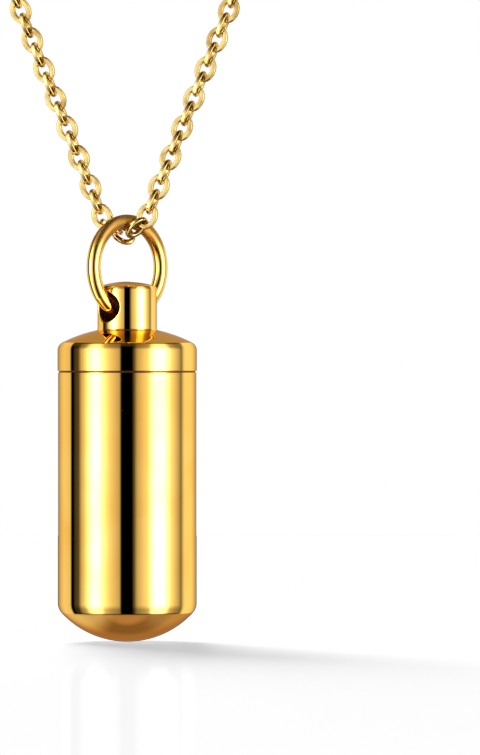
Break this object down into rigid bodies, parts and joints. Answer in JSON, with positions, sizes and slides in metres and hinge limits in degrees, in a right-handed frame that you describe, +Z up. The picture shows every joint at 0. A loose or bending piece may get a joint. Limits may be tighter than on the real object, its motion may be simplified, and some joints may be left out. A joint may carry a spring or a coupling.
{
  "type": "keepsake urn pendant necklace",
  "caption": "Gold keepsake urn pendant: a hollow cylinder with a screw cap, hung by a jump ring on a cable chain necklace.",
  "frame": {"origin": "middle of the arc that the chain makes round the back of the neck", "axes": "+Z up, +Y towards the nape, the pendant hangs in front towards -Y, +X to the right as seen from the front"},
  "size_m": [0.102, 0.0947, 0.2062],
  "materials": {
    "chain_gold": "polished gold plate",
    "clasp_gold": "polished gold plate",
    "ring_gold": "polished gold plate",
    "cap_gold": "mirror polished gold plate",
    "capsule_gold": "mirror polished gold plate"
  },
  "bodies": {
    "necklace": {"chain_front": "chain_gold", "chain_nape": "chain_gold", "clasp": "clasp_gold"},
    "ring": {"ring": "ring_gold"},
    "cap": {"cap": "cap_gold"},
    "capsule": {"capsule": "capsule_gold"}
  },
  "joints": [
    {"name": "ring_swing", "type": "hinge", "parent": "necklace", "child": "ring", "pos_m": [0.00025, -0.04081, -0.14471], "axis": [0.6947, -0.7193, 0], "range_deg": [-75, 75]},
    {"name": "pendant_swing", "type": "hinge", "parent": "ring", "child": "cap", "pos_m": [0.00025, -0.04081, -0.14871], "axis": [0.7193, 0.6947, 0], "range_deg": [-75, 75]},
    {"name": "capsule_pull", "type": "slide", "parent": "cap", "child": "capsule", "axis": [0, 0, -1], "range_m": [0, 0.016]}
  ]
}
